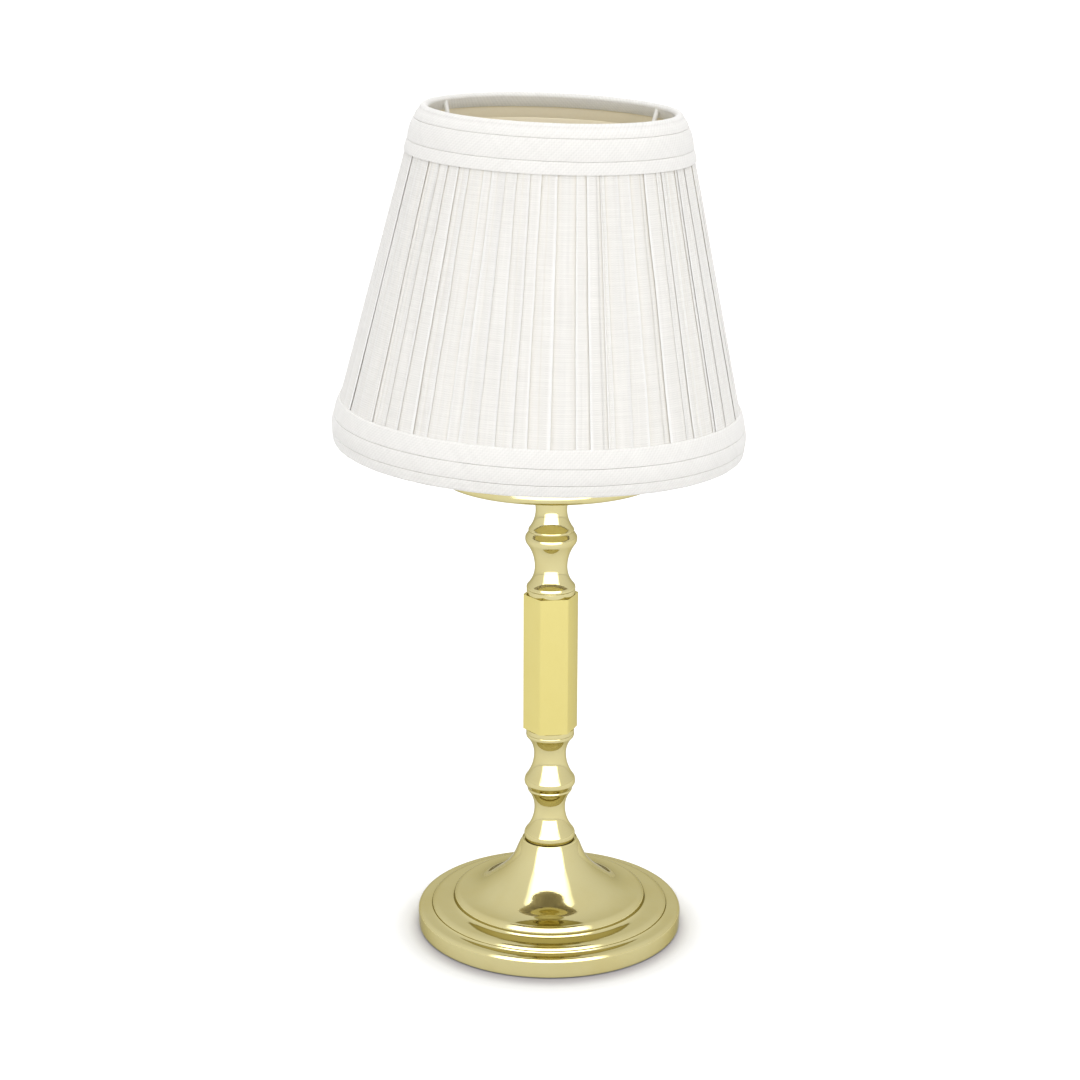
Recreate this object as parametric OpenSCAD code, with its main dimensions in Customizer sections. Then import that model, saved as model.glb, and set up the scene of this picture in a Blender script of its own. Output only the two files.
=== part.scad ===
// Candle lamp: a turned brass candlestick with a shallow dish, a glass chimney
// that holds a liquid candle, and a pleated cloth shade carried on the chimney.
// Millimetres. +Z is up, and the origin is on the table under the column.

/* [Base] */
// Width of the round foot over its rim
base_d = 94.6; // [80:0.2:120]
// Height of the upright rim of the foot
rim_h = 7.3; // [5:0.1:8]
// Width of the ledge between the rim and the lower stepped ring
rim_ledge_w = 5; // [4:0.1:8]
// Height of the lower stepped ring
low_step_h = 9.4; // [8.5:0.1:10]
// Width of the ledge between the two stepped rings
low_ledge_w = 7.9; // [6:0.1:11]
// Height of the upper stepped ring
high_step_h = 13; // [12.5:0.1:15]
// Width of the collar where the flared foot meets the column
collar_d = 19.8; // [19.6:0.1:24]
// Height of the seat inside the collar that carries the column
seat_h = 32.6; // [30:0.1:40]
// Depth of the column's seat below the collar's lip
seat_depth = 0.3; // [0.2:0.1:1.6]
// Thickness of the spun sheet of the foot
sheet_t = 0.9; // [0.6:0.1:1]
// Thickness of the felt pad
felt_t = 1.2; // [0.8:0.1:2]

/* [Column] */
// Length of each turned baluster
baluster_h = 42.5; // [41:0.1:50]
// Width of the baluster's foot bead
foot_d = 18.2; // [17:0.1:18.4]
// Width of the middle knob
knob_d = 18; // [17:0.1:20]
// Width of the two necks
neck_d = 11.2; // [10.4:0.1:13]
// Width of the shoulder that meets the hexagonal sleeve
shoulder_d = 17.1; // [16.6:0.1:17.4]
// Length of the hexagonal sleeve
sleeve_h = 49.8; // [30:0.2:80]
// Width of the hexagonal sleeve across its flats
sleeve_flats = 16.9; // [16.6:0.1:20]
// Turn of the sleeve's faces away from the front
sleeve_turn = 8; // [0:1:30]
// Width of the hole through the sleeve
sleeve_bore_d = 14.4; // [12:0.1:14.6]
// Width of the threaded tie rod
rod_d = 6; // [5:0.1:6.4]

/* [Dish] */
// Width of the dish over its rolled rim
dish_d = 81.2; // [80:0.2:100]
// Height of the dish
dish_h = 8; // [6:0.1:14]
// Thickness of the dish
dish_t = 1; // [0.8:0.1:1.5]
// Radius of the bend between the floor and the rim
dish_bend = 2.4; // [1.8:0.1:2.8]

/* [Chimney] */
// Outer width of the glass chimney
glass_d = 66.6; // [66:0.1:68]
// Wall of the glass chimney
glass_t = 2.4; // [2:0.1:2.6]
// Height of the glass chimney
glass_h = 111.2; // [90:0.2:130]
// Thickness of the spun ring that caps the chimney
ring_t = 0.8; // [0.6:0.1:1]
// Width of the hole in that ring
ring_hole_d = 59.2; // [58.6:0.1:60]
// Depth of the ring's skirt round the glass
skirt_h = 6.8; // [5:0.1:9]
// Width of the ledge that the shade's hub rests on
ledge_d = 80; // [79:0.2:84]

/* [Shade] */
// Height of the shade over both bindings
shade_h = 114.4; // [100:0.2:116]
// Width over the pleats at the bottom edge
shade_bottom_d = 143.3; // [130:0.1:160]
// Width over the pleats at the top edge
shade_top_d = 89; // [88:0.2:100]
// How far the shade's top edge stands above the chimney's rim
shade_rise = 13.6; // [12:0.2:15]
// Number of pleats
pleat_count = 88; // [60:1:100]
// Depth of a pleat
pleat_depth = 1.1; // [0.6:0.1:1.2]
// Thickness of the cloth
cloth_t = 0.6; // [0.4:0.1:0.7]
// Thickness of the stiff liner
liner_t = 0.6; // [0.4:0.1:0.8]
// Depth of the binding at the top edge
top_trim_h = 15.3; // [12:0.1:18]
// Depth of the binding at the bottom edge
bottom_trim_h = 15.3; // [13:0.1:18]
// Width of the wire of the top and bottom rings
ring_wire_d = 1.8; // [1.4:0.1:2]
// Width of the wire of the hub
hub_wire_d = 2.4; // [2:0.1:2.6]
// Width of the wire of the arms
arm_wire_d = 1.6; // [1.2:0.1:1.8]
// Lean of the shade on its hub, in degrees
shade_lean = 2; // [0:0.1:2.2]
// How far the hub has slid over on its ledge
shade_slip = 1.2; // [0:0.1:1.3]

/* [Candle] */
// Width of the candle's bottle
bottle_d = 57; // [50:0.2:57.4]
// Height of the bottle up to its shoulder
bottle_h = 46; // [36:0.5:60]
// Width of the bottle's neck
bottle_neck_d = 24; // [20:0.5:28]
// Width of the cap
cap_d = 29; // [29:0.5:34]
// Height of the cap
cap_h = 9; // [7:0.5:12]
// Width of the wick
wick_d = 2.8; // [2:0.1:3.4]
// How far the wick stands out of its tube
wick_out = 5; // [3:0.5:7]

/* [Hidden] */
$fn = 72;

// Colours
brass = "#d9c57a";
steel = "#b9bcc0";
cloth = "#f4f2ec";

// Clearances
fit = 0.05;
slide_gap = 0.35;
rest_gap = 0.3;
touch_gap = 0.1;

// Foot
low_step_d = base_d - 2*rim_ledge_w;
high_step_d = low_step_d - 2*low_ledge_w;
rim_round = 1.5;
step_round = 2;
step_hollow = 0.5;
riser_share = 0.3;
rim_to_step = 0.3;
rim_lift = 0.5;
collar_lip = 0.5;
rod_hole = rod_d + 0.5;
weight_gap = 0.6;
weight_under = 1.4;
weight_step = 2;
weight_spread = 7;
nut_well_d = 22;
nut_well_h = 7;
washer_t = 1.2;
foot_nut_flats = 10;
foot_nut_h = 5;
rod_below_nut = 0.4;
felt_inset = 1;

// Column
bead_h = 3.1;
low_neck_z = 12.1;
neck_spread = 0.1;
knob_low = 18.7;
knob_high = 23.9;
knob_ring = 1.05;
knob_ring_h = 1;
knob_cone_h = 2.5;
high_neck_drop = 9.8;
shoulder_band = 1.9;
shoulder_round = 1.4;
groove = 0.12;
undercut_h = 0.4;
undercut = 0.6;
spigot_h = 4;
rod_in_top = 14;
screw_d = 5;
screw_h = 10;
screw_hole_h = 12;
screw_head_d = 9.4;
screw_head_h = 2.2;
screw_slot = 1.2;
dish_washer_d = 13;
dish_washer_t = 0.6;

// Heights up the column
sleeve_z = seat_h + baluster_h;
top_baluster_z = sleeve_z + sleeve_h;
dish_z = top_baluster_z + baluster_h;
floor_z = dish_z + dish_t;
glass_top_z = floor_z + glass_h;

// Dish
rim_roll = 1.1;
locator_gap = 0.7;
locator_w = 1.5;
locator_h = 1.6;

// Chimney ring
skirt_d = glass_d + 2*slide_gap + 2*ring_t;
ledge_z = glass_top_z + ring_t - skirt_h;
lip_round = 0.8;

// Shade
shade_top_z = glass_top_z + shade_rise;
shade_bottom_z = shade_top_z - shade_h;
cone_slope = (shade_bottom_d - shade_top_d)/2/shade_h;
pleat_tuck = 2.4;
pleat_fold = [[0, 0], [0.62, 0], [0.78, 1]];
trim_t = 0.45;
trim_swell = 0.35;
liner_gap = 0.2;
fold_h = 5;
top_seams = [4.4, 11.3];
bottom_seams = [4.1, 9.5];
trim_roll = ring_wire_d/2 + fit + trim_t;
hub_r = skirt_d/2 + shade_slip + rest_gap + hub_wire_d/2;
hub_z = ledge_z + ring_t + rest_gap + hub_wire_d/2;
top_ring_r = shade_top_d/2 - 2.3;
top_ring_z = shade_top_z - trim_roll;
bottom_ring_r = shade_bottom_d/2 - 2.8;
bottom_ring_z = shade_bottom_z + trim_roll;
arm_count = 3;
arm_inset = 0.65;
notch_gap = 0.3;

// Candle
bottle_t = 1;
punt_d = 40;
punt_h = 3.4;
bottle_round = 1.6;
shoulder_h = 6;
fuel_share = 0.78;
cap_t = 1.1;
neck_top_z = bottle_h + shoulder_h + cap_h - cap_t + 1;
cap_top_z = neck_top_z + cap_t;
wick_tube_d = 6;
wick_tube_in = 10;
wick_tube_out = 8;
wick_flange_d = 12;
wick_flange_t = 1;
wick_foot = 3;

// A smooth curve from a to d, steered by b and c
function curve(a, b, c, d, n = 10) = [for (i = [0:n]) let (t = i/n)
    pow(1 - t, 3)*a + 3*pow(1 - t, 2)*t*b + 3*(1 - t)*t*t*c + pow(t, 3)*d];

// Points along an arc round c
function arc(c, r, from, to, n = 6) = [for (i = [0:n]) let (a = from + (to - from)*i/n)
    c + r*[cos(a), sin(a)]];

// A stretch from a to b that swells sideways by h at its middle
function swell(a, b, h, n = 6) = let (d = b - a, side = [d[1], -d[0]]/norm(d))
    [for (i = [0:n]) let (t = i/n) a + d*t + side*h*4*t*(1 - t)];

// A turned cove: one arc from its outer edge that comes upright at the middle of the neck
function cove(edge, neck, n = 9) = let (
    wide = edge[0] - neck[0],
    tall = neck[1] - edge[1],
    r = (wide*wide + tall*tall)/2/wide,
    turn = atan2(abs(tall), r - wide))
    [for (i = [0:n]) let (a = turn*(1 - i/n)) [neck[0] + r*(1 - cos(a)), neck[1] - sign(tall)*r*sin(a)]];

// The same points in the other order
function back(p) = [for (i = [len(p) - 1:-1:0]) p[i]];

// The points moved by d to the left of the line that they lie on
function beside(p, d) = [for (i = [0:len(p) - 1])
    let (u = p[min(i + 1, len(p) - 1)] - p[max(i - 1, 0)]) p[i] + d*[-u[1], u[0]]/norm(u)];

module turned(outline) rotate_extrude() polygon(outline);

module tube(d, bore, h) difference() {
    cylinder(d = d, h = h);
    translate([0, 0, -1]) cylinder(d = bore, h = h + 2);
}

module wire_ring(r, z, d) translate([0, 0, z]) rotate_extrude() translate([r, 0]) circle(d = d, $fn = 24);

// A straight wire from a to b, longer by extra at b
module wire_between(a, b, d, extra) {
    u = b - a;
    translate(a) rotate([0, acos(u[2]/norm(u)), atan2(u[1], u[0])])
        cylinder(d = d, h = norm(u) + extra, $fn = 24);
}

// Foot

// One step of the foot: a tight hollow up to the riser, then a broad rounded edge
function step(from, r, h, n = 7) = let (turn_z = from[1] + riser_share*(h - from[1]))
    concat(curve(from, [r + step_hollow, from[1]], [r, from[1]], [r, turn_z], 6),
        [for (i = [1:n]) let (a = 90*i/n) [r - step_round*(1 - cos(a)), turn_z + (h - turn_z)*sin(a)]]);

function foot_outside() = let (
    rim = arc([base_d/2 - rim_round, rim_h - rim_round], rim_round, 0, 90),
    low = step([base_d/2 - rim_round - rim_to_step, rim_h], low_step_d/2, low_step_h),
    high = step([low_step_d/2 - step_round - 0.6, low_step_h], high_step_d/2, high_step_h),
    flare_foot = [high_step_d/2 - step_round - 0.1, high_step_h],
    flare_top = [collar_d/2, seat_h + seat_depth - 0.6],
    run = flare_foot[0] - flare_top[0],
    drop = flare_top[1] - flare_foot[1],
    knee = flare_foot + [-0.556*run, 0.267*drop],
    outward = [0.204*run, -0.182*drop],
    spread = curve(flare_foot, flare_foot - [0.278*run, 0], knee + outward, knee, 10),
    throat = curve(knee, knee - 1.82*outward, flare_top + [0.109*run, -0.17*drop], flare_top, 10))
    concat([[base_d/2, rim_lift]], rim, low, high, spread, [for (i = [1:10]) throat[i]]);

module base_shell() color(brass) {
    outside = foot_outside();
    lip_z = seat_h + seat_depth;
    turned(concat(outside,
        [[collar_d/2 - 0.25, lip_z], [collar_d/2 - collar_lip, lip_z],
         [collar_d/2 - collar_lip, seat_h], [rod_hole/2, seat_h],
         [rod_hole/2, seat_h - sheet_t], [collar_d/2 - sheet_t, seat_h - sheet_t]],
        back([for (p = beside(outside, sheet_t)) if (p[1] < seat_h - 2*sheet_t) p])));
}

module base_weight() color("#4a4a4c") {
    floor = felt_t;
    wide = base_d/2 - sheet_t - weight_gap - felt_inset;
    under = sheet_t + weight_under;
    low_r = low_step_d/2 - weight_step;
    high_r = high_step_d/2 - weight_step;
    spread_r = collar_d/2 + weight_spread;
    hub_r = collar_d/2 - sheet_t - weight_gap;
    top = seat_h - sheet_t;
    difference() {
        turned([[rod_hole/2, floor], [wide, floor], [wide, rim_h - under], [low_r, rim_h - under],
            [low_r, low_step_h - under], [high_r, low_step_h - under], [high_r, high_step_h - under],
            [spread_r, high_step_h - under + 1], [hub_r + 1, high_step_h + 3],
            [hub_r - 0.6, top], [rod_hole/2, top]]);
        translate([0, 0, floor - 1]) cylinder(d = nut_well_d, h = nut_well_h + 1);
    }
}

module felt_pad() color("#2f4a38")
    cylinder(d = base_d - 2*sheet_t - 2*felt_inset, h = felt_t);

module foot_washer() color(steel) translate([0, 0, felt_t + nut_well_h - washer_t])
    tube(nut_well_d - 3, rod_d + 2*fit, washer_t);

module foot_nut() color(steel) translate([0, 0, felt_t + nut_well_h - washer_t - foot_nut_h]) difference() {
    cylinder(d = foot_nut_flats/cos(30), h = foot_nut_h, $fn = 6);
    translate([0, 0, -1]) cylinder(d = rod_d + 2*fit, h = foot_nut_h + 2);
}

module tie_rod() color(steel) {
    low = felt_t + nut_well_h - washer_t - foot_nut_h - rod_below_nut;
    translate([0, 0, low]) cylinder(d = rod_d, h = top_baluster_z + rod_in_top - low);
}

// Column

// The turned outline of a baluster, foot down, from the foot's underside to the shoulder
function baluster_outside() = let (
    foot_r = foot_d/2, knob_r = knob_d/2, neck_r = neck_d/2, shoulder_r = shoulder_d/2,
    low_neck = [neck_r - neck_spread, low_neck_z],
    high_neck = [neck_r + neck_spread, baluster_h - high_neck_drop],
    ring_r = knob_r - knob_ring,
    ring_z = knob_low + knob_ring_h,
    cone_z = knob_low + knob_cone_h,
    band_z = baluster_h - shoulder_band,
    shoulder_z = band_z - shoulder_round)
    concat([[foot_r - undercut, 0], [foot_r - undercut, undercut_h]],
        swell([foot_r - 0.35, undercut_h], [foot_r - 0.4, undercut_h + bead_h], 0.4),
        cove([foot_r - 0.45, undercut_h + bead_h + groove], low_neck),
        back(cove([ring_r - 0.2, knob_low], low_neck)),
        swell([ring_r - 0.05, knob_low + groove], [ring_r - 0.05, ring_z - groove], 0.08, 3),
        [[ring_r - groove, ring_z]],
        swell([knob_r - 0.3, cone_z], [knob_r - 0.3, knob_high], 0.4, 8),
        cove([knob_r - 0.35, knob_high + groove], high_neck),
        back(cove([shoulder_r - 0.25, shoulder_z], high_neck)),
        swell([shoulder_r - 0.1, shoulder_z + 0.3], [shoulder_r - 0.05, band_z - groove], 0.08, 4),
        [[shoulder_r - 0.05 - groove, band_z]],
        swell([shoulder_r - 0.05, band_z + groove], [shoulder_r - 0.12, baluster_h - undercut_h], 0.05, 3),
        [[shoulder_r - undercut, baluster_h - undercut_h], [shoulder_r - undercut, baluster_h]]);

// A baluster standing on its foot, with the spigot that enters the sleeve above it
module baluster() {
    spigot_r = sleeve_bore_d/2 - fit;
    turned(concat([[0, 0]], baluster_outside(),
        [[spigot_r, baluster_h], [spigot_r, baluster_h + spigot_h], [0, baluster_h + spigot_h]]));
}

module lower_baluster() color(brass) difference() {
    translate([0, 0, seat_h]) baluster();
    translate([0, 0, seat_h - 1]) cylinder(d = rod_hole, h = baluster_h + spigot_h + 2);
}

module hex_sleeve() color(brass) translate([0, 0, sleeve_z]) rotate(sleeve_turn) difference() {
    cylinder(d = sleeve_flats/cos(30), h = sleeve_h, $fn = 6);
    translate([0, 0, -1]) cylinder(d = sleeve_bore_d, h = sleeve_h + 2);
}

module upper_baluster() color(brass) difference() {
    translate([0, 0, dish_z]) mirror([0, 0, 1]) baluster();
    translate([0, 0, top_baluster_z - spigot_h - 1])
        cylinder(d = rod_d + 2*fit, h = spigot_h + rod_in_top + 2);
    translate([0, 0, dish_z - screw_hole_h]) cylinder(d = screw_d + 2*fit, h = screw_hole_h + 1);
}

// Dish

module on_floor() translate([0, 0, floor_z]) children();

module dish() color(brass) on_floor() {
    wall = dish_d/2 - rim_roll + dish_t/2;
    bend = [wall - dish_bend, dish_bend - dish_t];
    roll_angle = acos(dish_t/2/rim_roll);
    ridge_r = glass_d/2 + locator_gap;
    hole_r = screw_d/2 + slide_gap;
    turned(concat([[hole_r, -dish_t]],
        arc(bend, dish_bend, -90, 0, 8),
        arc([wall - dish_t/2, dish_h - dish_t - rim_roll], rim_roll, -roll_angle, 180 + roll_angle, 16),
        arc(bend, dish_bend - dish_t, 0, -90, 6),
        [[ridge_r + locator_w, 0], [ridge_r + locator_w*0.75, locator_h],
         [ridge_r + locator_w*0.25, locator_h], [ridge_r, 0], [hole_r, 0]]));
}

module dish_washer() color(steel) on_floor() tube(dish_washer_d, screw_d + 2*fit, dish_washer_t);

module dish_screw() color(steel) on_floor() translate([0, 0, dish_washer_t]) difference() {
    turned(concat([[0, -screw_h], [screw_d/2, -screw_h], [screw_d/2, 0], [screw_head_d/2, 0]],
        curve([screw_head_d/2, screw_head_h*0.4], [screw_head_d/2, screw_head_h*0.8],
            [screw_head_d/2*0.7, screw_head_h], [0, screw_head_h])));
    translate([-screw_head_d/2, -screw_slot/2, screw_head_h/2])
        cube([screw_head_d, screw_slot, screw_head_h]);
}

// Chimney and its ring

module glass_chimney() color("#dfe6e6", 0.5) {
    r = glass_d/2;
    on_floor() turned(concat([[r - glass_t, 0], [r, 0]],
        arc([r - lip_round, glass_h - lip_round], lip_round, 0, 90),
        arc([r - glass_t + lip_round, glass_h - lip_round], lip_round, 90, 180)));
}

module chimney_ring() color(brass) {
    out = skirt_d/2;
    translate([0, 0, ledge_z]) turned([[out - ring_t, 0], [ledge_d/2, 0], [ledge_d/2, ring_t],
        [out, ring_t], [out, skirt_h - 0.3], [out - 0.3, skirt_h],
        [ring_hole_d/2, skirt_h], [ring_hole_d/2, skirt_h - ring_t],
        [out - ring_t, skirt_h - ring_t]]);
}

// Shade

// Radius over the pleats at height z of the upright shade
function cone_r(z) = shade_top_d/2 + (shade_top_z - z)*cone_slope;

// Radius of the liner's outer face at height z
function liner_r(z) = cone_r(z) - pleat_depth - cloth_t - liner_gap;

// Puts an upright shade piece where it leans and has slid over on its ledge
module leaning() translate([-shade_slip, 0, hub_z]) rotate([0, shade_lean, 0])
    translate([0, 0, -hub_z]) children();

function leaned(p) = [p[0]*cos(shade_lean) + (p[2] - hub_z)*sin(shade_lean) - shade_slip,
    p[1], hub_z - p[0]*sin(shade_lean) + (p[2] - hub_z)*cos(shade_lean)];

// The arms that join the level hub to the leaning top ring
module arms(d, extra = 0) for (i = [0:arm_count - 1]) {
    a = i*360/arm_count - 90;
    top_r = top_ring_r - arm_inset;
    wire_between([hub_r*cos(a) - shade_slip, hub_r*sin(a), hub_z],
        leaned([top_r*cos(a), top_r*sin(a), top_ring_z - 0.2]), d, extra);
}

module shade_hub() color(steel) translate([-shade_slip, 0, 0]) wire_ring(hub_r, hub_z, hub_wire_d);

module shade_top_ring() color(steel) leaning() wire_ring(top_ring_r, top_ring_z, ring_wire_d);

module shade_arms() color(steel) difference() {
    arms(arm_wire_d);
    shade_hub();
    shade_top_ring();
}

module shade_bottom_ring() color(steel) leaning() wire_ring(bottom_ring_r, bottom_ring_z, ring_wire_d);

module shade_liner() color("#efdcb8") leaning() {
    low = bottom_ring_z + ring_wire_d/2 + touch_gap;
    high = top_ring_z - ring_wire_d/2 - touch_gap;
    turned([[liner_r(low) - liner_t, low], [liner_r(low), low],
        [liner_r(high), high], [liner_r(high) - liner_t, high]]);
}

// The outline of the pleated cloth: each pleat has a flat face, then tucks under the next
function pleats(r) = [for (i = [0:pleat_count - 1]) for (p = pleat_fold)
    let (a = 360*(i + p[0])/pleat_count) (r - p[1]*pleat_depth)*[cos(a), sin(a)]];

module pleated_cover() color(cloth) leaning() {
    low = shade_bottom_z + bottom_trim_h - pleat_tuck;
    high = shade_top_z - top_trim_h + pleat_tuck;
    translate([0, 0, low]) linear_extrude(height = high - low, scale = cone_r(high)/cone_r(low))
        difference() {
            polygon(pleats(cone_r(low)));
            polygon(pleats(cone_r(low) - cloth_t));
        }
}

// A point of a binding's face, out from the pleats at height z
function on_cone(z, out) = [cone_r(z) + out, z];

// A point of a binding's inner face, just outside the liner at height z
function on_liner(z, side = 1) = side > 0 ? [liner_r(z) + touch_gap, z]
    : [liner_r(z) - liner_t - touch_gap, z];

// The bound edge at the top: two swelling strips, a roll over the wire and a short fold inside
module top_trim() color(cloth) {
    wire = [top_ring_r, top_ring_z];
    low = shade_top_z - top_trim_h;
    seams = [shade_top_z - top_seams[0], shade_top_z - top_seams[1]];
    tuck_z = low + pleat_tuck + touch_gap;
    liner_top = top_ring_z - ring_wire_d/2 - fit;
    difference() {
        leaning() turned(concat(
            swell(on_cone(low, trim_t), on_cone(seams[1] - 0.1, trim_t - 0.2), 0.15, 4),
            swell(on_cone(seams[1] + 0.1, trim_t - 0.1), on_cone(seams[0] - 0.1, trim_t - 0.4), trim_swell),
            swell(on_cone(seams[0] + 0.1, trim_t - 0.6), wire + [trim_roll, 0], trim_swell),
            arc(wire, trim_roll, 15, 180, 11),
            [on_liner(shade_top_z - fold_h, -1) - [trim_t, 0], on_liner(shade_top_z - fold_h, -1),
             on_liner(liner_top, -1)],
            arc(wire, trim_roll - trim_t, 260, -35, 18),
            [on_liner(liner_top), on_liner(tuck_z), on_cone(tuck_z, touch_gap/2),
             on_cone(low, touch_gap/2)]));
        arms(arm_wire_d + 2*notch_gap, notch_gap);
    }
}

// The bound edge at the bottom, folded up round its wire
module bottom_trim() color(cloth) leaning() {
    wire = [bottom_ring_r, bottom_ring_z];
    high = shade_bottom_z + bottom_trim_h;
    seams = [shade_bottom_z + bottom_seams[0], shade_bottom_z + bottom_seams[1]];
    tuck_z = high - pleat_tuck - touch_gap;
    liner_low = bottom_ring_z + ring_wire_d/2 + fit;
    turned(concat(
        arc(wire, trim_roll, -180, 0, 12),
        swell(wire + [trim_roll, 0.3], on_cone(seams[0] - 0.1, -0.2), 0.1, 4),
        swell(on_cone(seams[0] + 0.1, -0.1), on_cone(seams[1] - 0.1, trim_t + 0.4), trim_swell),
        swell(on_cone(seams[1] + 0.1, trim_t + 0.35), on_cone(high, trim_t), 0.2, 4),
        [on_cone(high, touch_gap/2), on_cone(tuck_z, touch_gap/2), on_liner(tuck_z), on_liner(liner_low)],
        arc(wire, trim_roll - trim_t, 75, -230, 18),
        [on_liner(liner_low, -1), on_liner(shade_bottom_z + fold_h, -1),
         on_liner(shade_bottom_z + fold_h, -1) - [trim_t, 0]]));
}

// Candle

// The bottle's wall from the middle of its foot to the rim of its neck, moved inwards by t
function bottle_wall(t) = let (r = bottle_d/2 - t, neck_r = bottle_neck_d/2 - t, k = bottle_round)
    concat([[0, punt_h + t], [punt_d/2 - punt_h + t*0.4, punt_h + t], [punt_d/2 + t*0.4, t]],
        arc([bottle_d/2 - k, k], k - t, -90, 0, 5),
        curve([r, bottle_h], [r, bottle_h + shoulder_h*0.7],
            [neck_r, bottle_h + shoulder_h*0.3], [neck_r, bottle_h + shoulder_h], 8),
        [[neck_r, neck_top_z]]);

module fuel_bottle() color("#e8ecee", 0.5) on_floor()
    turned(concat(bottle_wall(0), back(bottle_wall(bottle_t))));

module liquid_fuel() color("#f2eecb", 0.6) on_floor() {
    t = bottle_t + fit;
    level = bottle_h*fuel_share;
    wick_r = wick_d/2 + fit;
    turned(concat([[wick_r, level]], [[wick_r, punt_h + t]],
        [for (p = bottle_wall(t)) if (p[0] > wick_r && p[1] < level) p],
        [[bottle_d/2 - t, level]]));
}

module bottle_cap() color("#20242a") on_floor() {
    in = bottle_neck_d/2 + fit;
    out = cap_d/2;
    low = cap_top_z - cap_h;
    hole = wick_tube_d/2 + fit;
    turned([[in, low], [out, low], [out, cap_top_z - 0.8], [out - 0.8, cap_top_z],
        [hole, cap_top_z], [hole, neck_top_z], [in, neck_top_z]]);
}

module wick_tube() color(brass) on_floor() translate([0, 0, cap_top_z]) {
    r = wick_tube_d/2;
    bore = wick_d/2 + fit;
    turned([[bore, -wick_tube_in], [r, -wick_tube_in], [r, 0], [wick_flange_d/2, 0],
        [wick_flange_d/2, wick_flange_t], [r, wick_flange_t], [r, wick_tube_out], [bore, wick_tube_out]]);
}

module wick() color("#f7f5ee") on_floor() translate([0, 0, punt_h + bottle_t + wick_foot])
    cylinder(d = wick_d, h = cap_top_z + wick_tube_out + wick_out - punt_h - bottle_t - wick_foot);

base_shell();
base_weight();
felt_pad();
foot_washer();
foot_nut();
tie_rod();
lower_baluster();
hex_sleeve();
upper_baluster();
dish();
dish_washer();
dish_screw();
glass_chimney();
chimney_ring();
shade_hub();
shade_arms();
shade_top_ring();
shade_bottom_ring();
shade_liner();
pleated_cover();
top_trim();
bottom_trim();
fuel_bottle();
liquid_fuel();
bottle_cap();
wick_tube();
wick();
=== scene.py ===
# Candle lamp: a turned brass candlestick, a glass chimney and a pleated cloth shade.
import math
import random

import bpy
from mathutils import Matrix, Vector, noise


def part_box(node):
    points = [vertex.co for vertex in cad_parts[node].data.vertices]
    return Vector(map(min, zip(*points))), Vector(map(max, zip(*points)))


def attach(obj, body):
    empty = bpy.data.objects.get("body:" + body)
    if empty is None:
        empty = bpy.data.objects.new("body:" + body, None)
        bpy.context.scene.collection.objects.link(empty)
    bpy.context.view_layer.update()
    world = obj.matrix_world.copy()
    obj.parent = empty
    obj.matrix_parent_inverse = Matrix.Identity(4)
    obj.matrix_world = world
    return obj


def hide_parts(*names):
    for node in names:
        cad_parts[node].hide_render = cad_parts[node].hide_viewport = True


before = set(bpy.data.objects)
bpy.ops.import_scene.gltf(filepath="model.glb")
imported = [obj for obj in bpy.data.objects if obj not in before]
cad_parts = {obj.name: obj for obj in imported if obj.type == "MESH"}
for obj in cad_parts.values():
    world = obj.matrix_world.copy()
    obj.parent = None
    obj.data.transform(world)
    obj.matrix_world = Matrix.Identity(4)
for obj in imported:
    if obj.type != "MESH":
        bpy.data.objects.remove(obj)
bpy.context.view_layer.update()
mm = 0.001
print("frame loaded:", len(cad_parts), "nodes")

studio = {
    "photoSide": 1080,            # the photograph's width and height
    "focalPixels": 2473,
    "pitch": 16.64,               # degrees down
    "roll": 0.25,                 # degrees, the lamp's top leans right
    "aimHeight": 144.2 * mm,
    "distance": 858 * mm,
    "lampOffset": 3.9 * mm,       # the lamp stands this far right of the picture's middle
    "floorSize": 40.0,
    "floorPaint": (0.84, 0.84, 0.84),
    "floorBleach": (0.02, 0.50),  # how far the white ground is bleached out, at the foot and clear of it
    "bleachReach": (0.046, 0.064),     # from the lamp's axis
    "paintedRimShadow": (0.66, 0.635, 0.69),   # painted shadow: the ground's tone right beside the foot
    "paintedRimShadowReach": (0.0446, 0.0515),
    "shadeMiddle": (0, -0.003, 0),     # the painted shadow lies a little to the front
    "cardFade": 0.22,             # share of a card's width over which each side fades
    "cardDepth": 2.5,             # cards shine on rays below this depth, so in one mirror and no further
    "walls": (0.78, 0.78, 0.78),
    "wallDepth": 1.5,
    "mirroredTwice": 0.7,         # how bright the walls are past that depth, in the mirror of a mirror
    "wallSlope": (-0.02, -0.13, 0.0),  # a little lighter to the left and to the front
}
# card: a reflector that only shines in polished metal; fill: a light that only falls on cloth and floor
softboxes = {
    "frontWindow": {"kind": "card", "place": (0, -0.575, 1.4), "size": (2.5, 2.66), "glow": 1.9,
        "aim": (0, 0.327, 0.968)},
    "lowWindow": {"kind": "card", "place": (0, -0.28, 0.19), "size": (0.74, 0.24), "glow": 1.9,
        "aim": (0, 0, 0.19)},
    "keyLight": {"kind": "fill", "place": (0.1, -1.0, 1.05), "size": (1.0, 1.0), "glow": 1.5},
    "topFill": {"kind": "fill", "place": (0, 0.1, 1.3), "size": (0.7, 0.7), "glow": 0.9},
    "leftFill": {"kind": "fill", "place": (-1.5, -0.3, 0.8), "size": (0.9, 1.2), "glow": 0.45},
    "rightFill": {"kind": "fill", "place": (1.5, -0.3, 0.8), "size": (0.9, 1.2), "glow": 0.65},
}


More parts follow.
